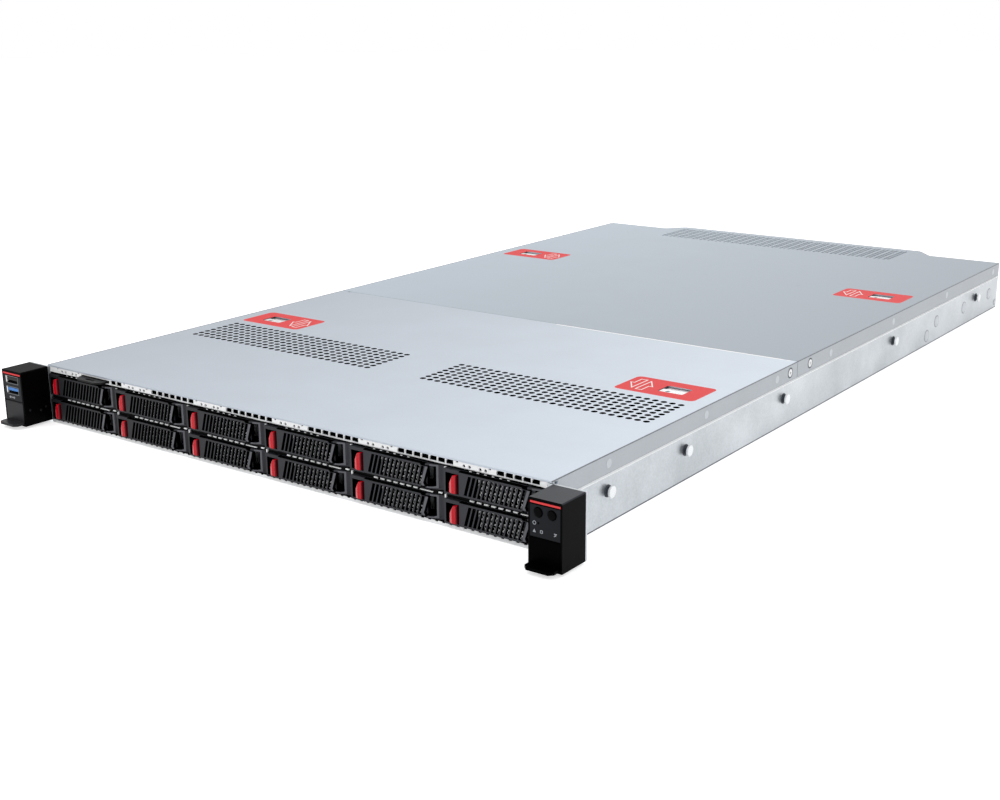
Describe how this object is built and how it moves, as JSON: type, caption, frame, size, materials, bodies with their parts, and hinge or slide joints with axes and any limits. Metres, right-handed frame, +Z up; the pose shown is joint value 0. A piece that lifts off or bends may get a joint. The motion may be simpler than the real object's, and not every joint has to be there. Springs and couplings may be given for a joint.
{
  "type": "1u rack server",
  "caption": "Flat rack-mount server in a steel case with two lift-off covers, slatted drive carriers across the front, hinged ear flaps, fans, boards and power supplies.",
  "frame": {"origin": "middle of the chassis's front edge on its underside", "axes": "+Z up, +Y from the front to the rear, +X to the right as seen from the front"},
  "size_m": [0.4826, 0.8208, 0.043],
  "materials": {
    "steel": "satin zinc-plated sheet",
    "front_paint": "matt powder coat",
    "rear_paint": "matt powder coat",
    "latch_steel": "satin",
    "ear_grey": "fine texture",
    "flap_grey": "fine texture",
    "screw_steel": "satin",
    "port_steel": "satin",
    "board_green": "satin solder mask",
    "sink_aluminium": "satin",
    "fan_black": "matt",
    "supply_steel": "satin",
    "key_grey": "satin",
    "tag_black": "matt",
    "carrier_black": "satin",
    "lever_black": "satin",
    "release_red": "gloss"
  },
  "bodies": {
    "chassis": {"chassis_base": "steel", "drive_cage": "steel", "drive_backplane": "board_green", "left_ear": "ear_grey", "right_ear": "ear_grey", "rack_screws": "screw_steel", "usb_ports": "port_steel", "system_board": "board_green", "heat_sinks": "sink_aluminium", "memory_modules": "board_green", "fan_modules": "fan_black"},
    "front_cover": {"front_cover": "front_paint"},
    "front_latch_left": {"front_latch_left": "latch_steel"},
    "front_latch_right": {"front_latch_right": "latch_steel"},
    "rear_cover": {"rear_cover": "rear_paint"},
    "rear_latch_left": {"rear_latch_left": "latch_steel"},
    "rear_latch_right": {"rear_latch_right": "latch_steel"},
    "left_ear_flap": {"left_ear_flap": "flap_grey"},
    "power_supply_left": {"power_supply_left": "supply_steel"},
    "right_ear_flap": {"right_ear_flap": "flap_grey"},
    "power_supply_right": {"power_supply_right": "supply_steel"},
    "power_button": {"power_button": "key_grey"},
    "locate_button": {"locate_button": "key_grey"},
    "information_tag": {"information_tag": "tag_black"},
    "carrier_lower_1": {"carrier_lower_1": "carrier_black"},
    "lever_lower_1": {"lever_lower_1": "lever_black"},
    "release_button_lower_1": {"release_button_lower_1": "release_red"},
    "carrier_lower_2": {"carrier_lower_2": "carrier_black"},
    "lever_lower_2": {"lever_lower_2": "lever_black"},
    "release_button_lower_2": {"release_button_lower_2": "release_red"},
    "carrier_lower_3": {"carrier_lower_3": "carrier_black"},
    "lever_lower_3": {"lever_lower_3": "lever_black"},
    "release_button_lower_3": {"release_button_lower_3": "release_red"},
    "carrier_lower_4": {"carrier_lower_4": "carrier_black"},
    "lever_lower_4": {"lever_lower_4": "lever_black"},
    "release_button_lower_4": {"release_button_lower_4": "release_red"},
    "carrier_lower_5": {"carrier_lower_5": "carrier_black"},
    "lever_lower_5": {"lever_lower_5": "lever_black"},
    "release_button_lower_5": {"release_button_lower_5": "release_red"},
    "carrier_lower_6": {"carrier_lower_6": "carrier_black"},
    "lever_lower_6": {"lever_lower_6": "lever_black"},
    "release_button_lower_6": {"release_button_lower_6": "release_red"},
    "carrier_upper_1": {"carrier_upper_1": "carrier_black"},
    "lever_upper_1": {"lever_upper_1": "lever_black"},
    "release_button_upper_1": {"release_button_upper_1": "release_red"},
    "carrier_upper_2": {"carrier_upper_2": "carrier_black"},
    "lever_upper_2": {"lever_upper_2": "lever_black"},
    "release_button_upper_2": {"release_button_upper_2": "release_red"},
    "carrier_upper_3": {"carrier_upper_3": "carrier_black"},
    "lever_upper_3": {"lever_upper_3": "lever_black"},
    "release_button_upper_3": {"release_button_upper_3": "release_red"},
    "carrier_upper_4": {"carrier_upper_4": "carrier_black"},
    "lever_upper_4": {"lever_upper_4": "lever_black"},
    "release_button_upper_4": {"release_button_upper_4": "release_red"},
    "carrier_upper_5": {"carrier_upper_5": "carrier_black"},
    "lever_upper_5": {"lever_upper_5": "lever_black"},
    "release_button_upper_5": {"release_button_upper_5": "release_red"},
    "carrier_upper_6": {"carrier_upper_6": "carrier_black"},
    "lever_upper_6": {"lever_upper_6": "lever_black"},
    "release_button_upper_6": {"release_button_upper_6": "release_red"}
  },
  "joints": [
    {"name": "front_cover_lift", "type": "slide", "parent": "chassis", "child": "front_cover", "axis": [0, 0, 1], "range_m": [0, 0.06]},
    {"name": "front_latch_left_slide", "type": "slide", "parent": "front_cover", "child": "front_latch_left", "axis": [0, 1, 0], "range_m": [0, 0.006]},
    {"name": "front_latch_right_slide", "type": "slide", "parent": "front_cover", "child": "front_latch_right", "axis": [0, 1, 0], "range_m": [0, 0.006]},
    {"name": "rear_cover_lift", "type": "slide", "parent": "chassis", "child": "rear_cover", "axis": [0, 0, 1], "range_m": [0, 0.06]},
    {"name": "rear_latch_left_slide", "type": "slide", "parent": "rear_cover", "child": "rear_latch_left", "axis": [0, 1, 0], "range_m": [0, 0.006]},
    {"name": "rear_latch_right_slide", "type": "slide", "parent": "rear_cover", "child": "rear_latch_right", "axis": [0, 1, 0], "range_m": [0, 0.006]},
    {"name": "left_flap_hinge", "type": "hinge", "parent": "chassis", "child": "left_ear_flap", "pos_m": [-0.2303, -0.0219, 0.018], "axis": [-1, 0, 0], "range_deg": [0, 85]},
    {"name": "power_supply_left_slide", "type": "slide", "parent": "chassis", "child": "power_supply_left", "axis": [0, 1, 0], "range_m": [0, 0.15]},
    {"name": "right_flap_hinge", "type": "hinge", "parent": "chassis", "child": "right_ear_flap", "pos_m": [0.2303, -0.0219, 0.018], "axis": [-1, 0, 0], "range_deg": [0, 85]},
    {"name": "power_supply_right_slide", "type": "slide", "parent": "chassis", "child": "power_supply_right", "axis": [0, 1, 0], "range_m": [0, 0.15]},
    {"name": "power_button_push", "type": "slide", "parent": "chassis", "child": "power_button", "axis": [0, 1, 0], "range_m": [0, 0.0007], "stiffness_N_per_m": 600},
    {"name": "locate_button_push", "type": "slide", "parent": "chassis", "child": "locate_button", "axis": [0, 1, 0], "range_m": [0, 0.0007], "stiffness_N_per_m": 600},
    {"name": "information_tag_slide", "type": "slide", "parent": "chassis", "child": "information_tag", "axis": [0, -1, 0], "range_m": [0, 0.04]},
    {"name": "carrier_lower_1_slide", "type": "slide", "parent": "chassis", "child": "carrier_lower_1", "axis": [0, -1, 0], "range_m": [0, 0.1]},
    {"name": "lever_lower_1_hinge", "type": "hinge", "parent": "carrier_lower_1", "child": "lever_lower_1", "pos_m": [-0.1591, 0.002, 0.01065], "axis": [0, 0, 1], "range_deg": [0, 50]},
    {"name": "release_button_lower_1_push", "type": "slide", "parent": "carrier_lower_1", "child": "release_button_lower_1", "axis": [-1, 0, 0], "range_m": [0, 0.0018], "stiffness_N_per_m": 400},
    {"name": "carrier_lower_2_slide", "type": "slide", "parent": "chassis", "child": "carrier_lower_2", "axis": [0, -1, 0], "range_m": [0, 0.1]},
    {"name": "lever_lower_2_hinge", "type": "hinge", "parent": "carrier_lower_2", "child": "lever_lower_2", "pos_m": [-0.0868, 0.002, 0.01065], "axis": [0, 0, 1], "range_deg": [0, 50]},
    {"name": "release_button_lower_2_push", "type": "slide", "parent": "carrier_lower_2", "child": "release_button_lower_2", "axis": [-1, 0, 0], "range_m": [0, 0.0018], "stiffness_N_per_m": 400},
    {"name": "carrier_lower_3_slide", "type": "slide", "parent": "chassis", "child": "carrier_lower_3", "axis": [0, -1, 0], "range_m": [0, 0.1]},
    {"name": "lever_lower_3_hinge", "type": "hinge", "parent": "carrier_lower_3", "child": "lever_lower_3", "pos_m": [-0.0145, 0.002, 0.01065], "axis": [0, 0, 1], "range_deg": [0, 50]},
    {"name": "release_button_lower_3_push", "type": "slide", "parent": "carrier_lower_3", "child": "release_button_lower_3", "axis": [-1, 0, 0], "range_m": [0, 0.0018], "stiffness_N_per_m": 400},
    {"name": "carrier_lower_4_slide", "type": "slide", "parent": "chassis", "child": "carrier_lower_4", "axis": [0, -1, 0], "range_m": [0, 0.1]},
    {"name": "lever_lower_4_hinge", "type": "hinge", "parent": "carrier_lower_4", "child": "lever_lower_4", "pos_m": [0.0578, 0.002, 0.01065], "axis": [0, 0, 1], "range_deg": [0, 50]},
    {"name": "release_button_lower_4_push", "type": "slide", "parent": "carrier_lower_4", "child": "release_button_lower_4", "axis": [-1, 0, 0], "range_m": [0, 0.0018], "stiffness_N_per_m": 400},
    {"name": "carrier_lower_5_slide", "type": "slide", "parent": "chassis", "child": "carrier_lower_5", "axis": [0, -1, 0], "range_m": [0, 0.1]},
    {"name": "lever_lower_5_hinge", "type": "hinge", "parent": "carrier_lower_5", "child": "lever_lower_5", "pos_m": [0.1301, 0.002, 0.01065], "axis": [0, 0, 1], "range_deg": [0, 50]},
    {"name": "release_button_lower_5_push", "type": "slide", "parent": "carrier_lower_5", "child": "release_button_lower_5", "axis": [-1, 0, 0], "range_m": [0, 0.0018], "stiffness_N_per_m": 400},
    {"name": "carrier_lower_6_slide", "type": "slide", "parent": "chassis", "child": "carrier_lower_6", "axis": [0, -1, 0], "range_m": [0, 0.1]},
    {"name": "lever_lower_6_hinge", "type": "hinge", "parent": "carrier_lower_6", "child": "lever_lower_6", "pos_m": [0.2024, 0.002, 0.01065], "axis": [0, 0, 1], "range_deg": [0, 50]},
    {"name": "release_button_lower_6_push", "type": "slide", "parent": "carrier_lower_6", "child": "release_button_lower_6", "axis": [-1, 0, 0], "range_m": [0, 0.0018], "stiffness_N_per_m": 400},
    {"name": "carrier_upper_1_slide", "type": "slide", "parent": "chassis", "child": "carrier_upper_1", "axis": [0, -1, 0], "range_m": [0, 0.1]},
    {"name": "lever_upper_1_hinge", "type": "hinge", "parent": "carrier_upper_1", "child": "lever_upper_1", "pos_m": [-0.1591, 0.002, 0.02915], "axis": [0, 0, 1], "range_deg": [0, 50]},
    {"name": "release_button_upper_1_push", "type": "slide", "parent": "carrier_upper_1", "child": "release_button_upper_1", "axis": [-1, 0, 0], "range_m": [0, 0.0018], "stiffness_N_per_m": 400},
    {"name": "carrier_upper_2_slide", "type": "slide", "parent": "chassis", "child": "carrier_upper_2", "axis": [0, -1, 0], "range_m": [0, 0.1]},
    {"name": "lever_upper_2_hinge", "type": "hinge", "parent": "carrier_upper_2", "child": "lever_upper_2", "pos_m": [-0.0868, 0.002, 0.02915], "axis": [0, 0, 1], "range_deg": [0, 50]},
    {"name": "release_button_upper_2_push", "type": "slide", "parent": "carrier_upper_2", "child": "release_button_upper_2", "axis": [-1, 0, 0], "range_m": [0, 0.0018], "stiffness_N_per_m": 400},
    {"name": "carrier_upper_3_slide", "type": "slide", "parent": "chassis", "child": "carrier_upper_3", "axis": [0, -1, 0], "range_m": [0, 0.1]},
    {"name": "lever_upper_3_hinge", "type": "hinge", "parent": "carrier_upper_3", "child": "lever_upper_3", "pos_m": [-0.0145, 0.002, 0.02915], "axis": [0, 0, 1], "range_deg": [0, 50]},
    {"name": "release_button_upper_3_push", "type": "slide", "parent": "carrier_upper_3", "child": "release_button_upper_3", "axis": [-1, 0, 0], "range_m": [0, 0.0018], "stiffness_N_per_m": 400},
    {"name": "carrier_upper_4_slide", "type": "slide", "parent": "chassis", "child": "carrier_upper_4", "axis": [0, -1, 0], "range_m": [0, 0.1]},
    {"name": "lever_upper_4_hinge", "type": "hinge", "parent": "carrier_upper_4", "child": "lever_upper_4", "pos_m": [0.0578, 0.002, 0.02915], "axis": [0, 0, 1], "range_deg": [0, 50]},
    {"name": "release_button_upper_4_push", "type": "slide", "parent": "carrier_upper_4", "child": "release_button_upper_4", "axis": [-1, 0, 0], "range_m": [0, 0.0018], "stiffness_N_per_m": 400},
    {"name": "carrier_upper_5_slide", "type": "slide", "parent": "chassis", "child": "carrier_upper_5", "axis": [0, -1, 0], "range_m": [0, 0.1]},
    {"name": "lever_upper_5_hinge", "type": "hinge", "parent": "carrier_upper_5", "child": "lever_upper_5", "pos_m": [0.1301, 0.002, 0.02915], "axis": [0, 0, 1], "range_deg": [0, 50]},
    {"name": "release_button_upper_5_push", "type": "slide", "parent": "carrier_upper_5", "child": "release_button_upper_5", "axis": [-1, 0, 0], "range_m": [0, 0.0018], "stiffness_N_per_m": 400},
    {"name": "carrier_upper_6_slide", "type": "slide", "parent": "chassis", "child": "carrier_upper_6", "axis": [0, -1, 0], "range_m": [0, 0.1]},
    {"name": "lever_upper_6_hinge", "type": "hinge", "parent": "carrier_upper_6", "child": "lever_upper_6", "pos_m": [0.2024, 0.002, 0.02915], "axis": [0, 0, 1], "range_deg": [0, 50]},
    {"name": "release_button_upper_6_push", "type": "slide", "parent": "carrier_upper_6", "child": "release_button_upper_6", "axis": [-1, 0, 0], "range_m": [0, 0.0018], "stiffness_N_per_m": 400}
  ]
}
